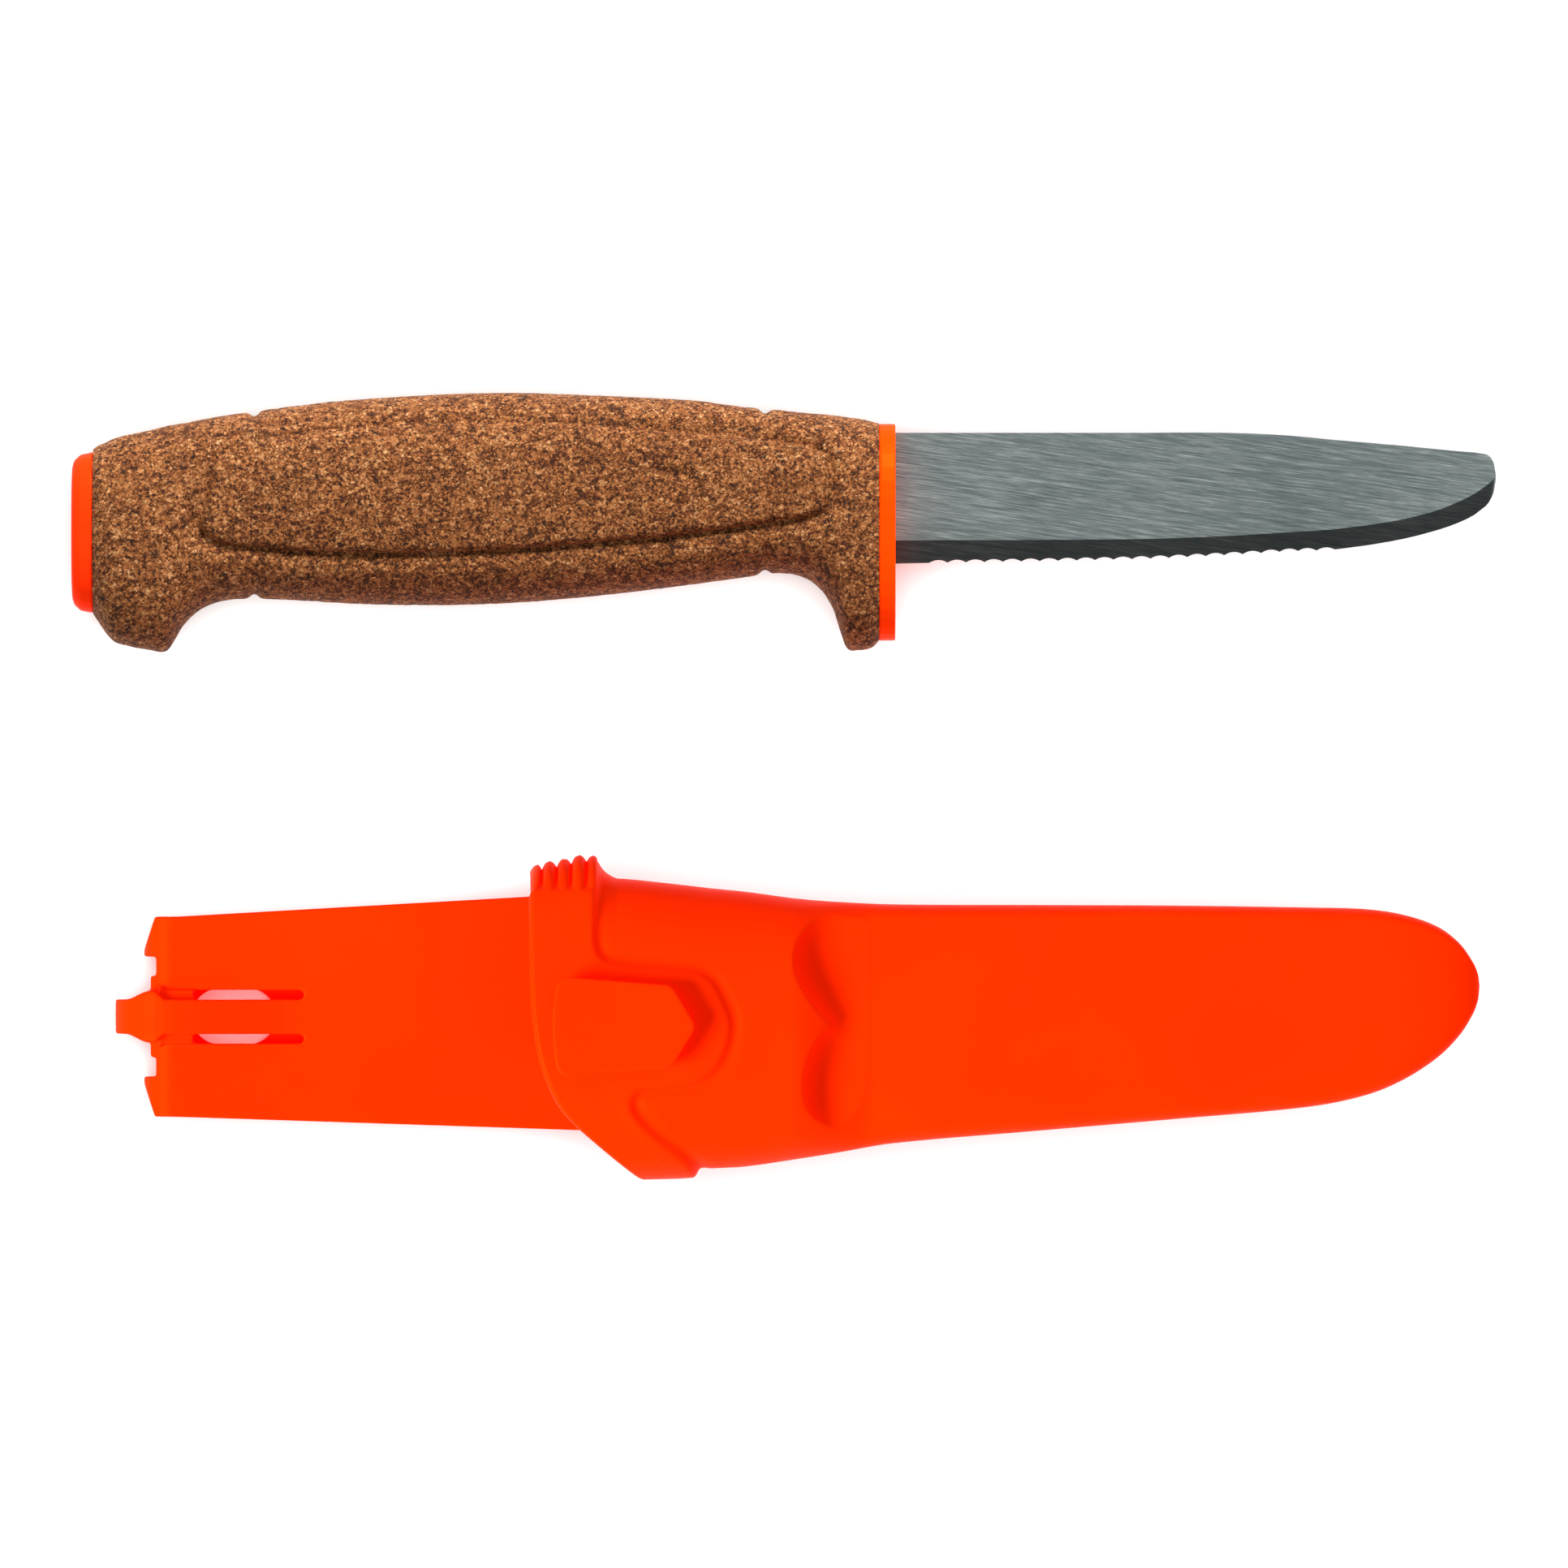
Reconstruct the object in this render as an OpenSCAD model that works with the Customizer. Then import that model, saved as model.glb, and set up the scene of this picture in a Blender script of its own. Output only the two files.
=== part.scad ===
// Rigging knife with a cork grip, beside its moulded belt sheath.
// Both lie flat: +X towards the blade's tip, +Y from edge to spine, +Z up.
// The origin is on the surface they lie on, at the middle of the set.

/* [Knife] */
// Blade length in front of the collar
blade_l = 96; // [76:1:120]
// Blade height at the heel
blade_h = 20.9; // [17:0.1:25]
// Blade thickness
blade_t = 2; // [1.6:0.1:2.6]
// Width of the flat bevel above the edge
bevel_w = 3.7; // [2.5:0.1:5]
// Thickness left at the edge
edge_t = 0.16; // [0.1:0.01:0.3]
// Length of plain edge between the collar and the first tooth
heel_l = 5.4; // [3:0.1:8]
// Number of teeth along the edge
teeth = 22; // [12:1:26]
// Distance from tooth to tooth
tooth_pitch = 2.95; // [2:0.05:3.5]
// Depth of the hollow between two teeth
tooth_depth = 0.45; // [0.2:0.05:0.7]
// Length of the tang inside the grip
tang_l = 84; // [60:1:100]
// Height of the tang
tang_h = 9; // [7:0.5:11]

/* [Grip] */
// Length of the cork grip
grip_l = 125.6; // [105:0.1:152]
// Height of the grip at its belly
grip_h = 33.6; // [28:0.1:41]
// Thickness of the grip at its belly and at its guard
grip_t = 24; // [20:0.5:29]
// Thickness of the collar in front of the cork
collar_t = 2.6; // [2:0.1:4]
// Thickness of the end cap behind the cork
cap_t = 3.4; // [2.4:0.1:4.4]
// Height of the core that runs through the cork
core_h = 13; // [12:0.5:16]
// Thickness of the core
core_t = 7; // [5:0.5:9]
// Diameter of the end cap's spigot
spigot_d = 4; // [3:0.5:5]
// Length of the end cap's spigot
spigot_l = 12; // [8:1:20]
// Depth of the two ring notches around the cork
notch_depth = 0.8; // [0.3:0.1:1.2]

/* [Sheath] */
// Wall of the sheath
wall = 1.8; // [1.4:0.1:2.4]
// Room between the knife and the sheath all round
fit_gap = 0.6; // [0.4:0.1:1]
// Room past the blade's tip inside the sheath
tip_room = 13.6; // [9:0.1:18]
// Length of the throat from the mouth to the pocket's step
throat_l = 45; // [38:1:52]
// How far before the pocket's step the collar stops
stop_back = 5; // [3:0.1:8]
// Thickness of the pocket where the blade's heel sits
pocket_t = 15; // [12:0.5:18]
// Thickness of the pocket at its tip
pocket_tip_t = 11; // [9:0.5:13]
// Height of the raised band around the mouth
band_raise = 0.8; // [0.4:0.1:1.4]
// Number of grip ribs on the band's top edge
ribs = 5; // [3:1:7]
// Distance from rib to rib
rib_pitch = 2.3; // [1.8:0.1:3]

/* [Shield button] */
// Length of the button's head
button_l = 22.2; // [18:0.1:26]
// Height of the button's head at its blunt end
button_w = 16; // [12:0.1:18]
// Thickness of the button's head
button_t = 2.4; // [1.8:0.1:3.2]
// Diameter of the stem under the head
stem_d = 9; // [7:0.5:11]
// Length of the stem, so the room under the head
stem_l = 2.4; // [1.6:0.1:4]

/* [Belt clip] */
// Room for the belt between the strap and the leaf
belt_gap = 5.2; // [4:0.1:7]
// Thickness of the strap
strap_t = 2.4; // [1.8:0.1:3.2]
// Length of strap that shows behind the mouth
strap_l = 62; // [50:1:76]
// Height of the strap at its fold
strap_w = 32; // [26:0.5:38]
// Thickness of the spring leaf
leaf_t = 2.2; // [1.6:0.1:3]
// Length of the spring leaf from its hinge line
leaf_l = 70; // [55:1:80]
// Diameter of the leaf's button hole, and so its width
hole_d = 9; // [7:0.5:11]
// Length of the leaf's button hole
hole_l = 13.5; // [11:0.5:18]
// Width of the bridge between the strap's two slots
bridge_w = 5.5; // [4:0.5:8]
// Width of each slot beside the bridge
slot_w = 1.55; // [1.2:0.05:2.5]
// Length of the slots
slot_l = 17.8; // [15:0.1:22]

/* [Layout] */
// Distance in Y from the blade's middle line to the sheath's
row_gap = 78.4; // [70:0.1:100]
// How far the stowed blade would sit behind where it lies now
stow_shift = 18.3; // [13:0.1:25]

/* [Hidden] */

orange = [1, 0.24, 0.02];
cork = [0.58, 0.36, 0.2];
steel = [0.5, 0.54, 0.55];
tiny = 0.01;
$fn = 64;

// The grip's outline is drawn for a cork 126 long and 33.6 high.
grip_kx = grip_l / 126;
grip_ky = grip_h / 33.6;
// Points per ring of the grip and of the sheath
grip_sides = 40;
sheath_sides = 44;
// Roundness of a section: 2 is an ellipse, more is squarer
grip_n = 2.5;

// Distance behind the collar, upper edge, lower edge, share of the full thickness
grip_outline = [
    [0, 11.9, -22.8, 0.95], [1.2, 12.2, -23.9, 0.985], [3.4, 12.7, -24.3, 1], [5.2, 12.9, -23.9, 1],
    [6.4, 13.1, -20.6, 1], [7.4, 13.2, -17.6, 0.995], [9.2, 13.4, -14.8, 0.98],
    [11.8, 13.6, -12.8, 0.96], [15.5, 14, -12, 0.93], [22, 14.6, -12.7, 0.91],
    [30, 15.6, -13.8, 0.91], [46, 16.4, -15.7, 0.96], [60, 16.8, -16.8, 1], [73, 16.4, -17.1, 1],
    [84, 15.7, -16.9, 0.97], [92, 14.9, -16.4, 0.93], [102, 13.6, -16.2, 0.88],
    [108, 12.7, -18.2, 0.87], [111, 12.1, -20.8, 0.88], [114, 11.5, -24.4, 0.9],
    [117, 10.8, -24.3, 0.91], [120.5, 10.1, -23.5, 0.91], [123.5, 9.2, -22.1, 0.9],
    [125, 8.5, -20.2, 0.86], [126, 7.8, -18.8, 0.78]
];
// Places of the two ring notches, behind the collar
ring_notches = [18.3, 100.2];
notch_half = 1.3;

// Distance from the collar, upper edge, cutting edge, bevel line, for a blade 96 long
// and 20.9 high
blade_kx = blade_l / 96;
blade_ky = blade_h / 20.9;
blade_outline = [
    [0, 10.45, -10.45, -6.8], [38, 10.45, -9.75, -6.6], [53, 10.45, -9.1, -6.1],
    [63, 10, -8.5, -5.5], [70.3, 9.3, -8.2, -5], [79.8, 8.5, -6.8, -3.7], [86, 7.9, -5.3, -2.2],
    [90.1, 7.5, -3.9, -0.6], [93.2, 7.25, -2.3, 1], [94.9, 6.8, -0.7, 2.3], [95.7, 5.6, 1, 3],
    [96, 3.9, 2.6, 3.3]
];

// Height of the bevel drawn at the heel, and the least flat kept above the bevel
drawn_bevel = 3.65;
least_flat = 0.2;

// Pocket's step at 0: place, upper edge, lower edge of the sheath's hollow.
// The throat stretches with throat_l and the pocket with the blade.
throat_kx = throat_l / 45;
pocket_end = blade_l + tip_room - stop_back;
pocket_kx = pocket_end / 104.6;
hollow_outline = [
    [-45, 17.5, -27.1], [-38, 17, -27.1], [-32, 16, -27.1], [-25.4, 15.4, -27.1],
    [-14.7, 14.2, -26.6], [-2.3, 12.7, -25.1], [4, 12.1, -24.2], [12.9, 11.7, -22.8],
    [34.8, 11.6, -20.8], [58.2, 11.5, -18.9], [79, 11.1, -16.9], [88, 10.5, -14.9],
    [95, 9.1, -12], [99.5, 7.1, -8.6], [102.4, 4.5, -5], [104, 1.8, -1.8], [104.6, -0.1, -0.3]
];
// Extra height of the band's ribbed crest above the hollow's wall
crest = [[-45, 0.1, 0], [-40, 1.2, 0], [-34.8, 2.8, 0], [-33.2, 1, 0], [-31.4, 0, 0], [-30, 0, 0]];
// The mouth's edge: upper part upright, lower part slanting forward
mouth_edge = [
    [-29.7, 17.9], [-26.8, 14], [-21.4, 7.4], [-18.4, 4.7], [-14, 2.5], [-9.7, 1.2], [-3.1, 0.3],
    [6.7, 0], [20, 0]
];
// Where the slant of the mouth has faded out
slant_end = -12;

// Fits and small reliefs
cap_inset = 0.4;
tang_room = 0.5;
glue_gap = 0.02;
spigot_room = 0.5;
hinge_gap = 0.05;
rib_depth = 0.85;
rib_reach = 4;
// How much the throat's round faces are cut flat, where the strap and the button sit
flat_depth = 0.6;
// Length of the step in the hollow, and the place where the skin's step ends
hollow_step = 1.6;
skin_step = 9;

throat_half = grip_t / 2 + fit_gap + wall;
pad_half = throat_half + band_raise;
knife_x = (collar_t + grip_l + cap_t - blade_l) / 2;
knife_y = row_gap / 2 + 6.5;
knife_z = grip_t / 2;
sheath_x = knife_x - stow_shift + stop_back;
sheath_y = knife_y - row_gap;
sheath_z = leaf_t + belt_gap + strap_t + throat_half;

grip_x0 = -collar_t;
grip_x1 = -collar_t - grip_l;
mouth_x = -throat_l;
strap_x1 = mouth_x - strap_l;
strap_z0 = -throat_half - strap_t;
fold_r = (strap_t + belt_gap + leaf_t) / 2;
hinge_x = strap_x1 + fold_r;
leaf_z0 = strap_z0 - belt_gap - leaf_t;
// Middle line of the strap, the bridge and the leaf
strap_y = -4.55;
// Where the strap ends behind the throat, and its height there
strap_root_x = -18 * throat_kx;
strap_root_w = 17;
slot_x1 = hinge_x + 20.8;
slot_x0 = slot_x1 - slot_l;
// Bites out of the fold's edge beside its middle: distance from the middle line, width, depth,
// and how far the edge between them and the bridge stands back
bite_y = 8.05;
bite_w = 3.1;
bite_d = 2;
set_back = 1.1;
// Root of the bridge: width and height above the strap
root_w = 8.5;
root_rise = 0.8;
fold_z = strap_z0 + strap_t - fold_r;
hinge_z = leaf_z0 + leaf_t / 2;
// How far the bridge stands in front of the strap and past its fold
bridge_rise = 3;
bridge_reach = 4.6;
// Gap left behind the hinge so that the leaf can swing
swing_gap = 0.4;
leaf_end_w = 26;
ridge_d = 2.8;
ridge_x = hinge_x + leaf_l - 6;
hole_x = hinge_x + 9.4;
button_x = mouth_x + 14;
button_y = -5.8;

// Smooth curve through the points of a table: column c at place x
function slope(t, i, c) =
    let (a = max(i - 1, 0), b = min(i + 1, len(t) - 1))
    (t[b][c] - t[a][c]) / (t[b][0] - t[a][0]);
function span(t, x, i = 0) = (i >= len(t) - 2 || x < t[i + 1][0]) ? i : span(t, x, i + 1);
function curve(t, x, c) =
    let (i = span(t, x), w = t[i + 1][0] - t[i][0], u = min(max((x - t[i][0]) / w, 0), 1))
    (2 * u ^ 3 - 3 * u ^ 2 + 1) * t[i][c] + (u ^ 3 - 2 * u ^ 2 + u) * w * slope(t, i, c)
    + (3 * u ^ 2 - 2 * u ^ 3) * t[i + 1][c] + (u ^ 3 - u ^ 2) * w * slope(t, i + 1, c);
function ramp(x, a, b) = let (u = min(max((x - a) / (b - a), 0), 1)) u * u * (3 - 2 * u);
function squarish(c, n) = sign(c) * abs(c) ^ (2 / n);

// One closed section: upper edge, lower edge, half thickness and roundness
function section(top, bot, half, n, sides) = [
    for (i = [0:sides - 1])
        let (a = 360 * (i + 0.5) / sides)
        [(top + bot) / 2 + (top - bot) / 2 * squarish(cos(a), n), half * squarish(sin(a), n)]
];
function at_x(x, flat) = [for (p = flat) [x, p[0], p[1]]];

// Sizes of the grip at a distance d behind the collar
function notch_at(d) = notch_depth * max(
    [for (p = ring_notches) max(0, 1 - abs(d - p * grip_kx) / notch_half)]);
function grip_at(d, c) = curve(grip_outline, d / grip_kx, c);
function grip_section(d) =
    let (cut = notch_at(d))
    section(grip_at(d, 1) * grip_ky - cut, grip_at(d, 2) * grip_ky + cut,
            min(grip_at(d, 3), 1) * grip_t / 2 - cut, grip_n, grip_sides);

collar_section = grip_section(0);
function cap_section(k) =
    let (mid = (grip_at(grip_l, 1) + grip_at(grip_l, 2)) / 2 * grip_ky,
         half = (grip_at(grip_l, 1) - grip_at(grip_l, 2)) / 2 * grip_ky - cap_inset)
    section(mid + half * k, mid - half * k, (grip_at(grip_l, 3) * grip_t / 2 - cap_inset) * k,
            grip_n, grip_sides);

// Distances behind the collar at which the grip has a ring, denser at its hooks and notches
grip_steps = [
    for (d = [0, 0.5, 1.2, 2.2, 3.4, 4.4, 5.2, 5.8, 6.4, 6.9, 7.4, 8.2, 9.2, 10.4, 11.8, 14]) d,
    for (p = [ring_notches[0]], s = [-1, 0, 1]) p + s * notch_half / grip_kx,
    for (d = [23:6.4:94]) d,
    for (p = [ring_notches[1]], s = [-1, 0, 1]) p + s * notch_half / grip_kx,
    for (d = [104, 107, 109, 110.6, 112, 113.4, 114.5, 116, 118, 120, 122, 123.6, 124.8, 125.6, 126])
        d
];

// Stadium shape t wide along X and h long along Y
module stadium(t, h) {
    square([t, h - t], center = true);
    for (s = [-1, 1]) translate([0, s * (h - t) / 2]) circle(d = t);
}

// Bar of the core's section between two places along the knife
module core_bar(x0, x1) {
    translate([x0, 0, 0]) rotate([0, 90, 0]) linear_extrude(x1 - x0) stadium(core_t, core_h);
}

// The same section as points of the cork's bore, just outside the core's round ends
core_section = [
    for (i = [0:grip_sides - 1])
        let (a = 360 * (i + 0.5) / grip_sides, r = core_t / 2 / cos(180 / grip_sides) + glue_gap,
             side = cos(a) > 0 ? 1 : -1)
        [side * (core_h - core_t) / 2 + r * cos(a), r * sin(a)]
];

// Places of the blade's sections: every tooth has six
function tooth_u(x) = (x - heel_l) / tooth_pitch;
function hollow_at(x) =
    let (u = tooth_u(x))
    (u <= 0 || u >= teeth) ? 0 : tooth_depth * 4 * (u - floor(u)) * (1 - u + floor(u));
teeth_end = heel_l + teeth * tooth_pitch;
blade_steps = [
    0, heel_l / 2,
    for (i = [0:teeth * 6]) heel_l + i * tooth_pitch / 6,
    for (u = [0.05:0.1:0.999]) teeth_end + (0.97 * blade_l - teeth_end) * sqrt(u),
    for (u = [0.2:0.2:1]) blade_l * (0.97 + 0.03 * sqrt(u))
];
function blade_at(x, c) = curve(blade_outline, x / blade_kx, c) * blade_ky;
// The teeth are ground from the back, so the bevel in front stays one plane
function blade_ring(x) =
    let (top = blade_at(x, 1), cut = hollow_at(x), edge = blade_at(x, 2) + cut, h = blade_t / 2,
         line = min(blade_at(x, 3) + bevel_w - drawn_bevel * blade_ky, top - least_flat),
         back = min(line + cut, top - least_flat),
         front = edge_t / 2 + (h - edge_t / 2) * cut / (line - edge + cut))
    [[x, top, h], [x, line, h], [x, edge, front], [x, edge, front - edge_t], [x, back, -h], [x, top, -h]];

// Sizes of the sheath's hollow at a place x, and of the skin around it
function hollow_x(x) = x < 0 ? x / throat_kx : x / pocket_kx;
function hollow_top(x) = curve(hollow_outline, hollow_x(x), 1) * grip_ky;
function hollow_bot(x) = curve(hollow_outline, hollow_x(x), 2) * grip_ky;
function mouth_at(y) = mouth_x + curve(mouth_edge, y / grip_ky, 1) * throat_kx;
// Half thickness of the hollow: throat, step down where the collar stops, slim pocket, tip.
// The skin outside it steps down more gently and further on.
function hollow_half(x, grow) =
    let (slim = pocket_t / 2 + (pocket_tip_t - pocket_t) / 2 * ramp(x, 10, 0.9 * pocket_end) - wall,
         deep = throat_half - wall,
         step = grow > 0 ? ramp(x, 1 - stop_back, skin_step) : ramp(x, -stop_back, hollow_step - stop_back),
         tip = sqrt(max(0, 1 - max(0, (x - 0.8 * pocket_end) / (0.2 * pocket_end)) ^ 2.6)))
    (deep + (slim - deep) * step) * tip;
function roundness(x) = 2.7 + 0.8 * ramp(x, 2, 16);

// Ring through the sheath's skin: grow is the skin's thickness round the hollow, raise lifts its front
function crest_at(x) = curve(crest, x / throat_kx, 1) * grip_ky;
function skin(x0, x1, grow, raise) =
    let (level = hollow_half(x0, grow) + grow, top = hollow_top(x0) + grow + (grow > 0 ? crest_at(x0) : 0))
    [for (p = section(top, hollow_bot(x1) - grow - raise, level + raise + flat_depth,
                      roundness(x0), sheath_sides))
        [p[0], min(max(p[1], -level), level + raise)]];

// Ribs across the band's top edge: how deep the groove is at a distance d from the mouth
function groove_at(d) =
    let (u = d / rib_pitch)
    (u < 0.5 || u > ribs - 0.5) ? 0 : rib_depth * (0.5 + 0.5 * cos(360 * u)) ^ 0.7;
function ribbed(p, d) =
    let (y0 = hollow_top(mouth_x) + wall - rib_reach,
         m = groove_at(d) * ramp(p[0], y0, y0 + rib_reach / 2))
    [p[0] - m, p[1] - sign(p[1]) * m / 2];

// Rings near the mouth follow its slanting edge: s is 0 at the mouth and 1 where the slant has gone
function throat_ring(s, grow) =
    let (end = slant_end * throat_kx, e0 = mouth_at(20 * grip_ky), e1 = mouth_at(-29.6 * grip_ky),
         x0 = e0 + (end - e0) * s, x1 = e1 + (end - e1) * s,
         raise = grow > 0 ? band_raise * (1 - ramp(s, 0.6, 0.85)) : 0)
    [for (p = skin(x0, x1, grow, raise))
        let (e = mouth_at(p[0]), q = grow > 0 ? ribbed(p, x0 - mouth_x) : p)
        [e + (end - e) * s, q[0], q[1]]];
function pocket_ring(x, grow) = at_x(x, skin(x, x, grow, 0));

// The last fifth closes round the tip: u runs from 0 to 1
function tip_ring(u, grow) =
    let (x = pocket_end * (0.8 + 0.2 * sin(90 * u)))
    at_x(x + grow * sin(90 * u) ^ 2, skin(x, x, grow, 0));

// Positions of the rings along the throat: the skin has six to a rib, the hollow needs fewer
rib_steps = [for (i = [0:ribs * 6]) i * rib_pitch / 6 / (throat_l + slant_end * throat_kx)];
open_steps = [for (s = [0.45:0.11:1]) s];
skin_steps = [-8, for (u = [0:0.125:1]) 1 - stop_back + u * (skin_step + stop_back - 1), 12, 15];
hollow_steps = [-9, for (u = [0:0.25:1]) u * hollow_step - stop_back, 0, 7, 15];
function sheath_rings(grow) = [
    for (s = grow > 0 ? rib_steps : [0, 0.17, 0.34]) throat_ring(s, grow),
    for (s = open_steps) throat_ring(s, grow),
    for (x = grow > 0 ? skin_steps : hollow_steps) pocket_ring(x, grow),
    for (x = [22:13.5:76]) pocket_ring(x, grow),
    for (u = [0:0.14:grow > 0 ? 0.99 : 0.85]) tip_ring(u, grow)
];

// Faces between neighbouring rings of n points, from ring a to ring b
function between(a, b, n) = [
    for (r = [a:b - 1], i = [0:n - 1])
        let (j = (i + 1) % n)
        each [[r * n + i, (r + 1) * n + j, r * n + j], [r * n + i, (r + 1) * n + i, (r + 1) * n + j]]
];
function joined(a, b, n) = [
    for (i = [0:n - 1])
        let (j = (i + 1) % n)
        each [[a * n + i, b * n + j, a * n + j], [a * n + i, b * n + i, b * n + j]]
];
function backwards(v) = [for (i = [len(v) - 1:-1:0]) v[i]];

// Closed skin over rings that go towards +X
module loft(rings) {
    n = len(rings[0]);
    m = len(rings);
    first = [for (i = [0:n - 1]) i];
    last = [for (i = [n - 1:-1:0]) (m - 1) * n + i];
    polyhedron([for (r = rings) each r], concat(between(0, m - 1, n), [first, last]), convexity = 6);
}

// Skin over the outer rings and back through the inner ones, open right through
module tube(outer, inner) {
    n = len(outer[0]);
    m = len(outer);
    k = len(inner);
    all = concat(outer, backwards(inner));
    polyhedron([for (r = all) each r],
        concat(between(0, m + k - 1, n), joined(m + k - 1, 0, n)), convexity = 8);
}

// Skin over the outer rings and back through the inner ones, closed at the far end
module sock(outer, inner) {
    n = len(outer[0]);
    m = len(outer);
    k = len(inner);
    all = concat(outer, backwards(inner));
    toe = [for (i = [n - 1:-1:0]) (m - 1) * n + i];
    heel = [for (i = [0:n - 1]) m * n + i];
    polyhedron([for (r = all) each r],
        concat(between(0, m - 1, n), between(m, m + k - 1, n), joined(m + k - 1, 0, n), [toe, heel]),
        convexity = 8);
}

// Corner points of a rounded polygon: each corner is [x, y, radius], listed anticlockwise
function rounded(corners, fine = 8) = [
    for (i = [0:len(corners) - 1])
        let (n = len(corners), p = corners[i], a = corners[(i + n - 1) % n], b = corners[(i + 1) % n],
             ua = unit([a[0] - p[0], a[1] - p[1]]), ub = unit([b[0] - p[0], b[1] - p[1]]),
             half = acos(ua * ub) / 2, mid = unit(ua + ub),
             c = [p[0], p[1]] + mid * p[2] / sin(half), turn = 90 - half,
             start = atan2(-mid[1], -mid[0]) - turn)
        for (k = [0:fine]) c + p[2] * [cos(start + 2 * turn * k / fine), sin(start + 2 * turn * k / fine)]
];
function unit(v) = v / norm(v);

module in_knife_frame() {
    translate([knife_x, knife_y, knife_z]) children();
}

module in_sheath_frame() {
    translate([sheath_x, sheath_y, sheath_z]) children();
}

// Steel blade with its tang, bevelled both sides, toothed from the heel to the belly
module blade() {
    color(steel) in_knife_frame() union() {
        loft([for (x = blade_steps) blade_ring(x)]);
        translate([-tang_l, -tang_h / 2, -blade_t / 2]) cube([tang_l + 1, tang_h, blade_t]);
    }
}

// Moulding round the tang: its flange is the collar that shows in front of the cork
module handle_core() {
    color(orange) in_knife_frame() difference() {
        union() {
            translate([grip_x0, 0, 0]) rotate([0, 90, 0]) linear_extrude(collar_t)
                polygon([for (p = collar_section) [-p[1], p[0]]]);
            core_bar(grip_x1, grip_x0 + tiny);
        }
        translate([-tang_l - tang_room, -tang_h / 2, -blade_t / 2])
            cube([tang_l + tang_room + 1, tang_h, blade_t]);
        translate([grip_x1 - 1, 0, 0]) rotate([0, 90, 0])
            cylinder(d = spigot_d, h = spigot_l + spigot_room + 1);
    }
}

// Pressed cork sleeve with a pommel hook behind and a finger guard in front
module cork_grip() {
    color(cork) in_knife_frame() tube(
        [
            for (i = [len(grip_steps) - 1:-1:0])
                let (d = grip_steps[i] * grip_kx)
                at_x(grip_x0 - d, grip_section(d))
        ],
        [at_x(grip_x1, core_section), at_x(grip_x0, core_section)]
    );
}

// Domed cap with a spigot that plugs into the core
module end_cap() {
    color(orange) in_knife_frame() union() {
        loft([
            for (i = [3:-1:0])
                at_x(grip_x1 - cap_t * [0, 0.6, 0.9, 1][i], cap_section([1, 0.97, 0.9, 0.82][i]))
        ]);
        translate([grip_x1 - tiny, 0, 0]) rotate([0, 90, 0]) cylinder(d = spigot_d, h = spigot_l + tiny);
    }
}

// Hollow moulding: a deep throat for the guard and a slim pocket for the blade
module sheath_shell() {
    color(orange) in_sheath_frame() sock(sheath_rings(wall), sheath_rings(0));
}

// Slot along +X from the origin, with round ends
module rounded_slot(l, w) {
    translate([w / 2, 0]) circle(d = w);
    translate([l - w / 2, 0]) circle(d = w);
    translate([w / 2, -w / 2]) square([l - w, w]);
}

// Solid drawn in the XZ plane and given a width along Y, centred on the strap's middle line
module across_strap(w) {
    translate([0, strap_y + w / 2, 0]) rotate([90, 0, 0]) linear_extrude(w) children();
}

// Side view of the fold: half a ring round the belt's room, open towards the strap
module fold_profile() {
    difference() {
        translate([hinge_x, fold_z]) circle(r = fold_r);
        translate([hinge_x, strap_z0 - belt_gap / 2]) circle(d = belt_gap);
        translate([hinge_x, fold_z - fold_r - 1]) square(2 * fold_r + 2);
    }
}

// Side view of the bridge: rises from the strap, turns round outside the fold and joins it below
function bridge_line(inset) = [
    for (u = [0:0.1:1]) let (x = slot_x1 + 1 - (slot_x1 + 1 - hinge_x) * u)
        [x, strap_z0 + strap_t - inset + bridge_rise * ramp(u, 0.05, 1)],
    for (a = [100:10:180]) [
        hinge_x + (fold_r + bridge_reach - inset) * cos(a),
        fold_z + (fold_r + bridge_rise - inset) * sin(a)
    ],
    for (a = [190:10:260]) [
        hinge_x + (fold_r + bridge_reach - inset) * cos(a), fold_z + (fold_r - inset) * sin(a)
    ]
];
module bridge_profile() {
    back = bridge_line(strap_t);
    polygon(concat(bridge_line(0), [for (i = [len(back) - 1:-1:0]) back[i]]));
}

// Corners of the fold that are bevelled off, seen from the front
module fold_corners() {
    for (s = [-1, 1])
        translate([strap_x1, strap_y + s * strap_w / 2, leaf_z0 - 1]) linear_extrude(2 * fold_r + 2)
            polygon([[-1, s], [1.8, s], [1.8, 0], [0, -s * 5.4], [-1, -s * 5.4]]);
}

// Bites beside the bridge, and the edge between, which stands back from the fold's ends
module fold_bites() {
    for (s = [-1, 1]) {
        translate([strap_x1 - 1, strap_y + s * bite_y - bite_w / 2, leaf_z0 - 1])
            cube([bite_d + 1, bite_w, 2 * fold_r + 2]);
        translate([strap_x1 - 1, strap_y + s * (bite_y + bridge_w / 2 - bite_w / 2) / 2, leaf_z0 + fold_r])
            cube([2 * (set_back + 1), bite_y - bite_w / 2 - bridge_w / 2, 2 * fold_r + 2], center = true);
    }
}

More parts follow.
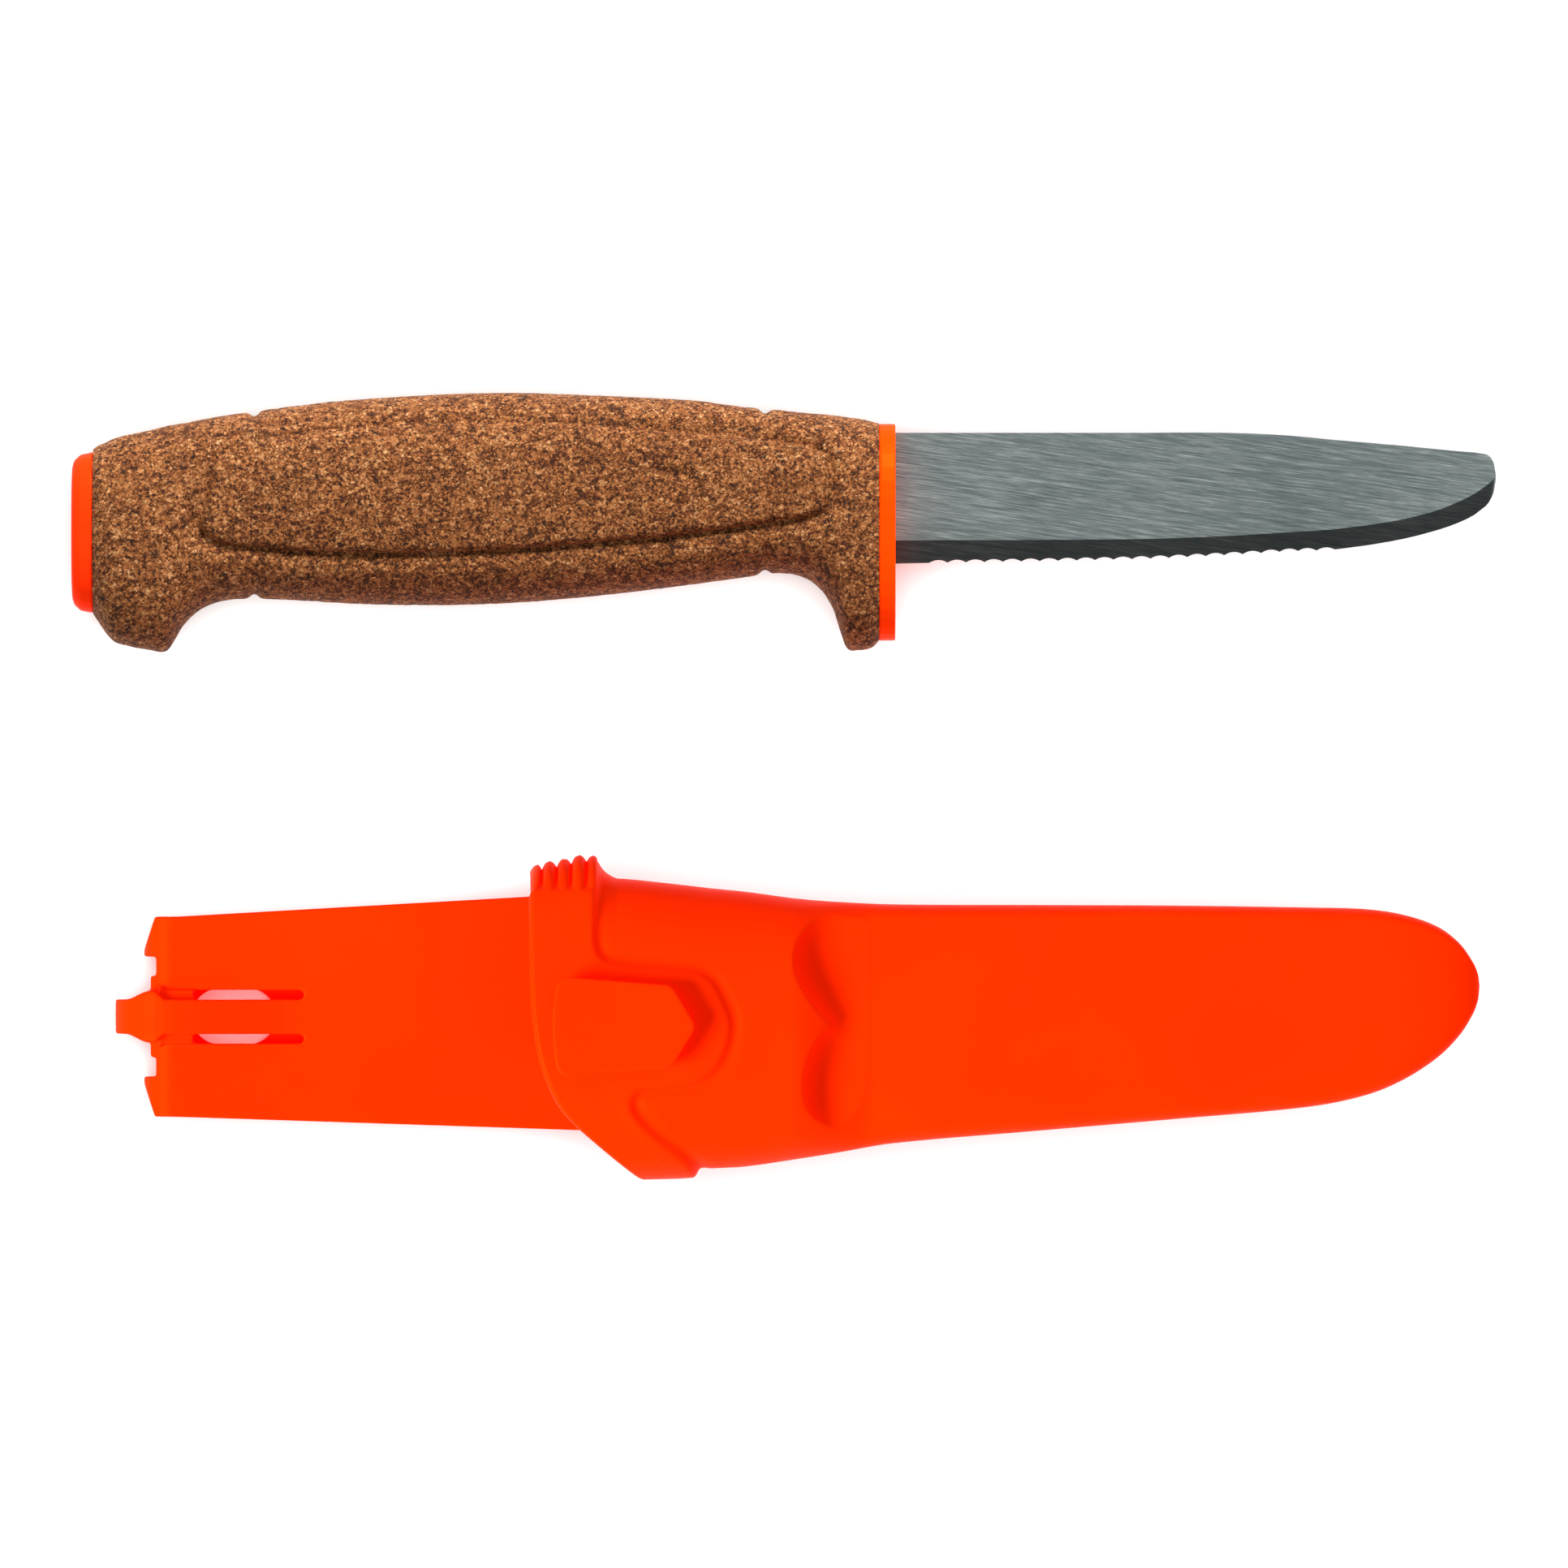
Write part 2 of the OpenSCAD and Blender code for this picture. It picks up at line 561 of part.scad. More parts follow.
// Flat strap behind the throat, slotted beside a raised bridge, and folded over at its end
module belt_strap() {
    color(orange) in_sheath_frame() difference() {
        union() {
            difference() {
                union() {
                    translate([0, 0, strap_z0]) linear_extrude(strap_t) strap_outline();
                    across_strap(strap_w) fold_profile();
                }
                translate([slot_x0 + slot_w / 2, strap_y - bridge_w / 2 - slot_w / 2, strap_z0 - tiny])
                    cube([slot_l - 2 * slot_w, bridge_w + slot_w, strap_t + 1]);
                for (s = [-1, 1])
                    translate([slot_x0, strap_y + s * (bridge_w + slot_w) / 2, strap_z0 - 1])
                        linear_extrude(strap_t + 2) rounded_slot(slot_l, slot_w);
            }
            across_strap(bridge_w) bridge_profile();
            translate([hinge_x - strap_t, strap_y - root_w / 2, strap_z0 + strap_t / 2])
                cube([slot_x0 - hinge_x + strap_t, root_w, strap_t / 2 + root_rise]);
        }
        fold_bites();
        fold_corners();
        hinge_room();
    }
}
module strap_outline() {
    low = strap_y - strap_w / 2;
    high = strap_y + strap_w / 2;
    polygon(rounded([
        [hinge_x - tiny, low, tiny], [mouth_x, low - 1.9, 20], [strap_root_x - 12, low - 2.4, 4],
        [strap_root_x, strap_y - strap_root_w / 2, 3], [strap_root_x, strap_y + strap_root_w / 2, 3],
        [mouth_x + 8, high + 3.7, 4], [hinge_x - tiny, high, tiny]
    ]));
}
// Room for the leaf's round nose and for its swing
module hinge_room() {
    translate([hinge_x - swing_gap, strap_y - strap_w, leaf_z0 - 1])
        cube([swing_gap + 1, 2 * strap_w, leaf_t + 1 + belt_gap / 4]);
    translate([hinge_x, strap_y, hinge_z]) rotate([90, 0, 0])
        cylinder(d = leaf_t + 2 * hinge_gap, h = 2 * strap_w, center = true);
}

// Spring leaf behind the belt: round nose at the fold, button hole, ridge near its free end
module clip_leaf() {
    color(orange) in_sheath_frame() difference() {
        union() {
            translate([0, 0, leaf_z0]) linear_extrude(leaf_t) polygon(rounded([
                [hinge_x, strap_y - strap_w / 2, tiny],
                [hinge_x + leaf_l, strap_y - leaf_end_w / 2, 7],
                [hinge_x + leaf_l, strap_y + leaf_end_w / 2, 7],
                [hinge_x, strap_y + strap_w / 2, tiny]
            ]));
            translate([hinge_x, strap_y, hinge_z]) rotate([90, 0, 0])
                cylinder(d = leaf_t, h = strap_w, center = true);
            translate([ridge_x, strap_y, leaf_z0 + leaf_t]) rotate([90, 0, 0])
                cylinder(d = ridge_d, h = leaf_end_w - 6, center = true);
        }
        translate([hole_x - hole_l / 2, strap_y, leaf_z0 - 1]) linear_extrude(leaf_t + 2)
            rounded_slot(hole_l, hole_d);
        fold_corners();
    }
}

// Shield-shaped button that a second sheath can hang on
module shield_button() {
    back = button_l * 0.43;
    front = button_l * 0.39;
    color(orange) in_sheath_frame() translate([button_x, button_y, pad_half]) {
        cylinder(d = stem_d, h = stem_l + tiny);
        translate([0, 0, stem_l]) linear_extrude(button_t) polygon(rounded([
            [-back, -button_w / 2, 2.2], [front, -button_w * 0.41, 2], [button_l * 0.57, 0, 2],
            [front, button_w * 0.41, 2], [-back, button_w / 2, 2.2], [-button_l * 0.47, 0, 30]
        ]));
    }
}

blade();
handle_core();
cork_grip();
end_cap();
sheath_shell();
belt_strap();
clip_leaf();
shield_button();
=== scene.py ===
"""Rigging knife beside its belt sheath: the looks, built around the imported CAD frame.

Lengths in the shape tables are millimetres and are turned into metres when a mesh is made.
The knife is drawn in its own frame, with 0 at the collar's front face on the blade's middle
line. The sheath's frame is the knife's when it is stowed, moved along by a few millimetres.
"""
import math

import bpy
import numpy as np
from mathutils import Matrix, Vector


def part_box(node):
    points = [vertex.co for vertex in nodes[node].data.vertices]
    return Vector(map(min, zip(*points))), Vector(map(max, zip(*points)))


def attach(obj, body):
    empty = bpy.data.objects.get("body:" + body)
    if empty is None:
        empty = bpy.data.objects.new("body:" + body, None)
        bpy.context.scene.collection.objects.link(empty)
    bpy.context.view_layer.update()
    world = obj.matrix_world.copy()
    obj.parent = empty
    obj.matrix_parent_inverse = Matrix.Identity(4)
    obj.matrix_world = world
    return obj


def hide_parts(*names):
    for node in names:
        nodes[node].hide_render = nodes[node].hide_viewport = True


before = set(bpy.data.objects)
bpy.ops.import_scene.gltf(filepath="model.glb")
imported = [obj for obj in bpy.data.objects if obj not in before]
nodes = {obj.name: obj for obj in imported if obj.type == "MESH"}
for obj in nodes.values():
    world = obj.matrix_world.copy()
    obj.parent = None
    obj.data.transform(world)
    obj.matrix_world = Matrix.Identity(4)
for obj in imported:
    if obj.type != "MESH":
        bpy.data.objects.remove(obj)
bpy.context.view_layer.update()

MM = 0.001


# ---------------------------------------------------------------- where the two frames are
def node_box(name):
    """Low and high corner of a CAD node, in millimetres."""
    low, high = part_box(name)
    return np.array(low) / MM, np.array(high) / MM


blade_low, blade_high = node_box("blade")
core_high = node_box("handle_core")[1]
cork_low, cork_high = node_box("cork_grip")
shell_low, shell_high = node_box("sheath_shell")
strap_low = node_box("belt_strap")[0]
leaf_low, leaf_high = node_box("clip_leaf")

KNIFE = np.array([
    core_high[0],
    (blade_low[1] + blade_high[1]) / 2,
    (cork_low[2] + cork_high[2]) / 2,
])
GRIP_FRONT = cork_high[0] - KNIFE[0]
GRIP_LENGTH = cork_high[0] - cork_low[0]
GRIP_HALF = (cork_high[2] - cork_low[2]) / 2

WALL = 1.8
BAND_RAISE, BAND_VALLEY = 0.8, 0.3
SHEATH_TIP = 106.4
THROAT_HALF = 14.4
MOUTH_X = -45.0
# How far below the knife, in the picture, the sheath lies
SHEATH_DROP = 78.4
SHEATH = np.array([
    shell_high[0] - SHEATH_TIP,
    KNIFE[1] - SHEATH_DROP,
    shell_low[2] + THROAT_HALF,
])


# ---------------------------------------------------------------- curves
def curve(table, x, column):
    """Smooth curve through a table's points: the given column at places x."""
    t = np.array(table, float)
    x = np.asarray(x, float)
    px, py = t[:, 0], t[:, column]
    ahead = np.append(px[1:], px[-1])
    behind = np.insert(px[:-1], 0, px[0])
    rise = np.append(py[1:], py[-1]) - np.insert(py[:-1], 0, py[0])
    slope = rise / (ahead - behind)
    i = np.clip(np.searchsorted(px, x, side="right") - 1, 0, len(px) - 2)
    w = px[i + 1] - px[i]
    u = np.clip((x - px[i]) / w, 0, 1)
    return (
        (2 * u**3 - 3 * u**2 + 1) * py[i] + (u**3 - 2 * u**2 + u) * w * slope[i]
        + (3 * u**2 - 2 * u**3) * py[i + 1] + (u**3 - u**2) * w * slope[i + 1]
    )


def ramp(x, a, b):
    """Smooth step from 0 at a to 1 at b."""
    u = np.clip((np.asarray(x, float) - a) / (b - a), 0, 1)
    return u * u * (3 - 2 * u)


def squarish(c, n):
    """Turns a circle's sine or cosine into that of a rounded square."""
    return np.sign(c) * np.abs(c) ** (2 / n)


def spline(points, closed=False, steps=12):
    """Catmull-Rom line through points in the plane."""
    p = np.array(points, float)
    n = len(p)
    out = []
    for k in range(n if closed else n - 1):
        if closed:
            a, b, c, d = p[(k - 1) % n], p[k], p[(k + 1) % n], p[(k + 2) % n]
        else:
            a, b, c, d = p[max(k - 1, 0)], p[k], p[k + 1], p[min(k + 2, n - 1)]
        for u in np.arange(steps) / steps:
            out.append(
                0.5 * (2 * b + (c - a) * u + (2 * a - 5 * b + 4 * c - d) * u**2
                       + (3 * b - a - 3 * c + d) * u**3)
            )
    if not closed:
        out.append(p[-1])
    return np.array(out)


def distance_to(line, x, y, closed=False):
    """Distance from each point to a polyline in the plane."""
    q = np.stack([np.ravel(x), np.ravel(y)], 1)
    ends = np.roll(line, -1, 0) if closed else line[1:]
    starts = line if closed else line[:-1]
    best = np.full(len(q), 1e9)
    for a, b in zip(starts, ends):
        d = b - a
        u = np.clip(((q - a) @ d) / max(d @ d, 1e-12), 0, 1)
        best = np.minimum(best, np.hypot(*(q - a - u[:, None] * d).T))
    return best.reshape(np.shape(x))


def inside(polygon, x, y):
    """True where points lie in a polygon."""
    hit = np.zeros(np.shape(x), bool)
    for (x1, y1), (x2, y2) in zip(polygon, np.roll(polygon, -1, 0)):
        if y1 == y2:
            continue
        crosses = ((y1 > y) != (y2 > y)) & (x < (x2 - x1) * (y - y1) / (y2 - y1) + x1)
        hit ^= crosses
    return hit


def signed_distance(polygon, x, y):
    """Distance to a closed outline, positive inside."""
    d = distance_to(polygon, x, y, closed=True)
    return np.where(inside(polygon, x, y), d, -d)


# ---------------------------------------------------------------- meshes from rings
def mesh_piece(name, verts, faces, origin):
    """Smooth-shaded object from points in millimetres, drawn from origin."""
    mesh = bpy.data.meshes.new(name)
    mesh.from_pydata(((np.asarray(verts) + origin) * MM).tolist(), [], faces)
    mesh.validate()
    mesh.update()
    for polygon in mesh.polygons:
        polygon.use_smooth = True
    obj = bpy.data.objects.new(name, mesh)
    bpy.context.collection.objects.link(obj)
    return obj


def ring_faces(rings, sides):
    """Quads between neighbouring rings, whose points turn from +Y towards +Z, going to +X."""
    faces = []
    for r in range(rings - 1):
        a, b = r * sides, (r + 1) * sides
        for i in range(sides):
            j = (i + 1) % sides
            faces.append((a + i, b + i, b + j, a + j))
    return faces


def smooth_normals(rings):
    """Outward normals of a grid of rings [ring, side, xyz]."""
    along = np.gradient(rings, axis=0)
    around = (np.roll(rings, -1, 1) - np.roll(rings, 1, 1)) / 2
    n = np.cross(around, along)
    return n / np.maximum(np.linalg.norm(n, axis=2, keepdims=True), 1e-9)


HASH_PRIMES = (73856093, 19349663, 83492791)
HASH_MIX = 1274126177


def value_noise(points, scale, seed):
    """Soft random field from a seeded lattice, between -1 and 1."""
    p = points / scale
    base = np.floor(p).astype(np.int64)
    f = p - base
    f = f * f * (3 - 2 * f)
    total = np.zeros(p.shape[:-1])
    for dx in (0, 1):
        for dy in (0, 1):
            for dz in (0, 1):
                k = base + np.array([dx, dy, dz])
                a, b, c = (k[..., i] * HASH_PRIMES[i] for i in range(3))
                h = a ^ b ^ c ^ seed
                h = (h ^ (h >> 13)) * HASH_MIX
                value = ((h & 0xFFFF) / 32767.5) - 1
                weight = (
                    np.where(dx, f[..., 0], 1 - f[..., 0])
                    * np.where(dy, f[..., 1], 1 - f[..., 1])
                    * np.where(dz, f[..., 2], 1 - f[..., 2])
                )
                total += value * weight
    return total


# ---------------------------------------------------------------- cork grip
# Distance behind the collar, upper edge, lower edge, share of the full thickness
GRIP_OUTLINE = [
    [0, 11.9, -22.8, 0.95], [1.2, 12.2, -23.9, 0.985], [3.4, 12.7, -24.3, 1], [5.2, 12.9, -23.9, 1],
    [6.4, 13.1, -20.6, 1], [7.4, 13.2, -17.6, 0.995], [9.2, 13.4, -14.8, 0.98],
    [11.8, 13.6, -12.8, 0.96], [15.5, 14, -12, 0.93], [22, 14.6, -12.7, 0.91],
    [30, 15.6, -13.8, 0.91], [46, 16.4, -15.7, 0.96], [60, 16.8, -16.8, 1], [73, 16.4, -17.1, 1],
    [84, 15.7, -16.9, 0.97], [92, 14.9, -16.4, 0.93], [102, 13.6, -16.1, 0.88],
    [106, 13, -16.6, 0.87], [109.3, 12.4, -18.1, 0.87], [111.9, 11.9, -20.7, 0.88],
    [113.2, 11.7, -23, 0.89], [114.4, 11.5, -24.5, 0.9], [117, 10.8, -24.3, 0.91],
    [120.5, 10.1, -23.6, 0.91], [122.7, 9.5, -22.9, 0.9], [124.2, 8.8, -21.3, 0.88],
    [125.2, 8.4, -19.8, 0.85], [126, 7.8, -18.6, 0.78],
]
DRAWN_GRIP = 126.0
RING_NOTCHES = (18.3, 100.2)
GRIP_ROUNDNESS = 2.5
GRIP_SIDES = 520
PANEL_DEPTH, NOTCH_DEPTH, DENT_DEPTH = 1.15, 0.75, 0.6
# Sizes of the rings that close each end of the cork, as shares of the last ring
END_SHARES = (0.97, 0.5)
# The pressed line round the flat of the grip, in the knife's frame
PANEL_LINE = [
    (-110.4, 0), (-111.2, -5.2), (-107.5, -7.8), (-102.7, -8.4), (-92.7, -9.2), (-83.1, -9.5),
    (-70.7, -9.3), (-57.4, -8.6), (-44, -7.5), (-32.7, -6.4), (-20.8, -4.7), (-14.5, -3.6),
    (-11.2, -2.0), (-10.1, 1.5), (-10.4, 5.4), (-13, 8.4), (-22.7, 10.2), (-38.6, 11.3),
    (-55, 12.1), (-75, 12.2), (-92, 10.8), (-103, 8.8), (-108.8, 6.6),
]
# Small dent near the middle of the grip: ends of its line
DENT = [(-38, 4.2), (-33.6, 3.4)]


def grip_rings(steps, sides):
    """Rounded rings of the grip at distances behind the collar."""
    d = np.asarray(steps)[:, None]
    top, bottom = curve(GRIP_OUTLINE, d, 1), curve(GRIP_OUTLINE, d, 2)
    half = np.minimum(curve(GRIP_OUTLINE, d, 3), 1) * GRIP_HALF
    turn = 2 * np.pi * (np.arange(sides) + 0.5) / sides
    y = (top + bottom) / 2 + (top - bottom) / 2 * squarish(np.cos(turn), GRIP_ROUNDNESS)
    z = half * squarish(np.sin(turn), GRIP_ROUNDNESS)
    x = GRIP_FRONT - d * GRIP_LENGTH / DRAWN_GRIP + 0 * y
    return np.stack([x, y, z], 2)


def press_panel(rings):
    """Sinks the panel's line, the two ring notches and the dent into the cork."""
    normal = smooth_normals(rings)
    x, y = rings[..., 0], rings[..., 1]
    facing = ramp(np.abs(rings[..., 2]), 2, 6)
    outline = spline(PANEL_LINE, closed=True, steps=8)
    d = signed_distance(outline, x, y)
    fade = 0.4 + 0.6 * np.clip(ramp(-y, -9, -3) + ramp(x, -52, -20), 0, 1)
    fade = fade * (1 - 0.45 * ramp(y, 2, 9) * ramp(-x, 95, 104))
    line = np.exp(-((np.abs(d) / 0.75) ** 2)) + 0.5 * np.exp(-(((d + 0.9) / 1.3) ** 2))
    wobble = 0.2 * value_noise(rings, 4.0, 7)
    sink = PANEL_DEPTH * line * fade * facing * (1 + wobble)
    for place in RING_NOTCHES:
        along = (GRIP_FRONT - x) * DRAWN_GRIP / GRIP_LENGTH - place
        cut = NOTCH_DEPTH * np.exp(-((np.abs(along) / 0.8) ** 2.2))
        outside = 1 - facing * ramp(d, -4.5, -1.5) * 0.85
        sink = sink + cut * outside
    dent = distance_to(np.array(DENT, float), x, y)
    top_side = rings[..., 2] > 0
    sink = sink + DENT_DEPTH * np.exp(-((dent / 1.1) ** 2)) * top_side
    grain = 0.05 * value_noise(rings, 1.1, 3) + 0.04 * value_noise(rings, 0.55, 5)
    return rings - normal * (sink + grain)[..., None]


def end_rings(ring):
    """Flat rings, smaller and smaller, that close an end of the cork."""
    centre = np.array([ring[0, 0], ring[:, 1].mean(), 0])
    out = []
    for share in END_SHARES:
        r = centre + (ring - centre) * share
        r[:, 0] = r[:, 0].mean()
        out.append(r)
    return out


def cork_sleeve():
    """The cork from the collar to the cap."""
    sides = GRIP_SIDES
    steps = np.unique(np.concatenate([
        np.linspace(0, 10, 50), np.linspace(10, 112, 330), np.linspace(112, DRAWN_GRIP, 60),
    ]))
    rings = press_panel(grip_rings(steps, sides)[::-1])[::-1]
    front, rear = end_rings(rings[0]), end_rings(rings[-1])
    all_rings = np.array([*front[::-1], *rings, *rear])[::-1]
    verts = all_rings.reshape(-1, 3)
    faces = ring_faces(len(all_rings), sides)
    faces.append(tuple(range(sides)))
    faces.append(tuple(range(len(verts) - 1, len(verts) - sides - 1, -1)))
    return mesh_piece("cork_sleeve", verts, faces, KNIFE)


# ---------------------------------------------------------------- sheath moulding
# Place, upper edge, lower edge of the skin
SKIN_OUTLINE = [
    [-45, 19.3, -29.7], [-38, 18.8, -29.7], [-32, 17.8, -29.7], [-27, 17.3, -29.6], [-19, 16.4, -29.3],
    [-16.5, 16.1, -28.7], [-10.6, 15.5, -28.3], [-2.3, 14.4, -27.1], [4, 13.9, -26.1],
    [12.9, 13.5, -24.6], [34.8, 13.4, -22.7], [58.2, 13.3, -20.7], [79, 13.0, -18.8], [88, 12.75, -17],
    [94, 11.9, -14.6], [99.6, 10.0, -11], [103.2, 7.3, -7.4], [105.4, 4.2, -3.9], [106.2, 2.2, -1.6],
    [106.4, 0.5, 0.3],
]
CREST = [[-45, 0.1], [-40, 1.2], [-34.8, 2.6], [-33.2, 0.9], [-31.4, 0], [-30, 0]]
MOUTH_EDGE = [
    [-29.7, 17.9], [-26.8, 14], [-21.4, 7.4], [-18.4, 4.7], [-14, 2.5], [-9.7, 1.2], [-3.1, 0.3],
    [6.7, 0], [20, 0],
]
# Where the mouth's slant has gone, and where the tip starts to round and how long it is
SLANT_END = -12.0
TIP_START, TIP_LENGTH = 86, 20.4
SHEATH_SIDES = 420
POCKET_HALF, POCKET_TAPER = 7.5, 2.0
LIP_DEPTH = 0.9
# Top of the hollow, and how much higher it is at the mouth
HOLLOW_TOP, HOLLOW_FLARE = 15.7, 1.6
RIBS, RIB_PITCH, RIB_DEPTH, RIB_REACH = 5, 2.35, 1.25, 4.3
FIRST_GROOVE = 2.0
# Right-hand edge of the raised band and of its pad round the button
BAND_EDGE = [
    (-34.6, 24), (-34.8, 14), (-34.8, 7.6), (-33.8, 5), (-31.6, 3.8), (-28, 3.25), (-22.5, 2.8),
    (-18.4, 2.3), (-16.2, 0.9), (-14.6, -1.8), (-13.3, -5.4), (-13.9, -9.2), (-15.6, -12.4),
    (-18.8, -14.4), (-24.4, -15.1), (-27.6, -15.9), (-28.9, -17.8), (-28.3, -20), (-25.8, -22.8),
    (-21.8, -25.9), (-19.4, -28.2), (-17.6, -31),
]
# The two scoops for the thumb where the throat steps down to the pocket
SCOOP_FLOOR, SCOOP_REACH, SCOOP_BOW = 7.6, 6.0, 3.2
SCOOP_EDGE = [
    (16, 13.6), (9, 13.4), (3.8, 12.6), (0, 10.6), (-2.3, 7.6), (-2.9, 4.4), (-2.1, 1.4), (-0.3, -1.6),
    (1.6, -3.9), (3.4, -5.6), (1.5, -7.4), (-0.3, -10.2), (-1.2, -13.6), (-1.3, -16.6), (-0.5, -19.2),
    (1.4, -21), (5, -22.6), (16, -24),
]


def mouth_at(y):
    """Place of the mouth's slanting edge at a height."""
    return MOUTH_X + curve(MOUTH_EDGE, y, 1)


def level_at(x):
    """Height of the flat of the skin over the middle plane: throat, step, slim pocket, tip."""
    slim = POCKET_HALF - POCKET_TAPER * ramp(x, 10, 94)
    step = ramp(x, -3.5, 10)
    tip = np.sqrt(np.maximum(0, 1 - np.maximum(0, (x - TIP_START) / TIP_LENGTH) ** 2.8))
    return (THROAT_HALF + (slim - THROAT_HALF) * step) * tip


def groove_at(d):
    """Depth of the grooves between the thumb ribs, d behind the mouth."""
    u = (d - FIRST_GROOVE) / RIB_PITCH
    depth = RIB_DEPTH * (0.5 + 0.5 * np.cos(2 * np.pi * u)) ** 0.75
    return np.where((u < -0.5) | (u > RIBS - 1.5), 0, depth)


def section(top, bottom, level, n, n_low, sides):
    """Closed section with softly flattened faces, n round its top edge and n_low its bottom one."""
    turn = 2 * np.pi * (np.arange(sides) + 0.5) / sides
    n = np.where(np.cos(turn) > 0, n, n_low)
    y = (top + bottom) / 2 + (top - bottom) / 2 * squarish(np.cos(turn), n)
    full = squarish(np.sin(turn), n)
    swell = 1.0 + 0.3 * ramp(n, 2.6, 3.8)
    raw = np.abs(full) * swell + 0.04
    # Soft minimum of the rounded section and the flat face
    blend = 0.12
    low = np.clip(0.5 + 0.5 * (1 - raw) / blend, 0, 1)
    flat = raw * low + (1 - low) - blend * low * (1 - low)
    z = level * np.sign(full) * flat * np.abs(full) ** 0.02
    return y, z


def throat_rings(s, sides, grow=0.0):
    """Rings that follow the slanting mouth: s is 0 at the mouth and 1 where the slant has gone."""
    s = np.asarray(s, float)[:, None]
    e0, e1 = mouth_at(20.0), mouth_at(-29.6)
    x0, x1 = e0 + (SLANT_END - e0) * s, e1 + (SLANT_END - e1) * s
    crest = curve(CREST, x0, 1) if grow == 0 else 0
    top = curve(SKIN_OUTLINE, x0, 1) + crest + grow
    bottom = curve(SKIN_OUTLINE, x1, 2) - grow
    if grow < 0:
        top = np.minimum(top, HOLLOW_TOP + HOLLOW_FLARE * ramp(-x0, 36, 45))
    y, z = section(top, bottom, level_at(x0) + grow, 2.7 + 0 * x0, 2.5 + 0 * x0, sides)
    x = mouth_at(y)
    x = x + (SLANT_END - x) * s
    if grow == 0:
        y, z = rib_cut(y, z, x0 - MOUTH_X)
    return np.stack([x, y, z], 2)


def rib_cut(y, z, d):
    """Cuts the grooves into the upper edge of the throat."""
    start = curve(SKIN_OUTLINE, MOUTH_X, 1) - RIB_REACH
    m = groove_at(d) * ramp(y, start, start + 1.3)
    return y - m * ramp(y, start + 1, start + 3), z - np.sign(z) * np.minimum(m * 1.2, np.abs(z) * 0.5)


def pocket_rings(x, sides, grow=0.0):
    """Upright rings of the pocket and the tip."""
    x = np.asarray(x, float)[:, None]
    top, bottom = curve(SKIN_OUTLINE, x, 1) + grow, curve(SKIN_OUTLINE, x, 2) - grow
    n = 2.7 + 1.3 * ramp(x, -2, 16)
    n_low = 2.5 + 0.75 * ramp(x, -2, 20)
    y, z = section(top, bottom, level_at(x) + grow, n, n_low, sides)
    return np.stack([x + 0 * y, y, z], 2)


def band_polygon():
    """Outline of the raised band, closed off well behind the mouth."""
    edge = spline(BAND_EDGE, steps=8)
    return np.vstack([edge, [(-60, -40), (-60, 30)]])


def relief(rings):
    """Raised band, its valley and the thumb scoops, on the front; the band's step all round."""
    normal = smooth_normals(rings)
    x, y, z = rings[..., 0], rings[..., 1], rings[..., 2]
    front = ramp(z / np.maximum(level_at(x), 1), -0.1, 0.35)
    d = signed_distance(band_polygon(), x, y)
    raised = BAND_RAISE * ramp(d, -0.9, 0.4)
    valley = BAND_VALLEY * np.exp(-(((d + 1.2) / 0.9) ** 2))
    low_edge = ramp(-y, 18, 26)
    lift = (raised - valley) * np.maximum(front, low_edge)
    out = rings + normal * lift[..., None]
    scoop = spline(SCOOP_EDGE, steps=8)
    scoop = np.vstack([scoop, [(30, -24), (30, 13.6)]])
    ds = signed_distance(scoop, x, y)
    floor = SCOOP_FLOOR + 0.35 * ramp(-x, -6, 3)
    depth = np.maximum(out[..., 2] - floor, 0)
    reach = np.clip((ds + 0.3) / SCOOP_REACH, 0, 1)
    hollow = 1 - (1 - reach) ** SCOOP_BOW
    out[..., 2] -= depth * hollow * ramp(ds, -0.6, 0.5) * ramp(z, 2, 6)
    return out


def sheath_moulding():
    """Skin, rounded lip and hollow of the throat in one closed mesh."""
    sides = SHEATH_SIDES
    run = SLANT_END - MOUTH_X
    lip_s = LIP_DEPTH / run
    rib_end = (RIBS * RIB_PITCH + 0.5) / run
    s = np.concatenate([np.linspace(lip_s, rib_end, 90), np.linspace(rib_end, 1, 56)[1:]])
    tip = TIP_START + TIP_LENGTH * np.sin(np.linspace(0, 1, 64) * np.pi / 2)
    x = np.concatenate([np.arange(-11.7, 16, 0.33), np.arange(16, TIP_START, 0.7), tip[:-1]])
    outer = relief(np.concatenate([throat_rings(s, sides), pocket_rings(x, sides)]))
    inner_s = np.linspace(lip_s, 1, 30)
    inner = np.concatenate([
        throat_rings(inner_s, sides, -WALL),
        pocket_rings(np.array([-10, -8, -6.5]), sides, -WALL),
    ])
    # Round lip between the skin and the hollow
    lip = []
    for turn in np.linspace(0, math.pi, 11)[1:-1]:
        r = (outer[0] + inner[0]) / 2 + (outer[0] - inner[0]) / 2 * math.cos(turn)
        r[:, 0] -= LIP_DEPTH * math.sin(turn)
        lip.append(r)
    rings = np.concatenate([inner[::-1], np.array(lip)[::-1], outer])
    verts = rings.reshape(-1, 3)
    faces = ring_faces(len(rings), sides)
    toe = len(verts) - sides
    faces.append(tuple(range(len(verts) - 1, toe - 1, -1)))
    # The floor of the throat, where the hollow narrows to the blade's slot
    faces.append(tuple(range(sides)))
    return mesh_piece("sheath_moulding", verts, faces, SHEATH)


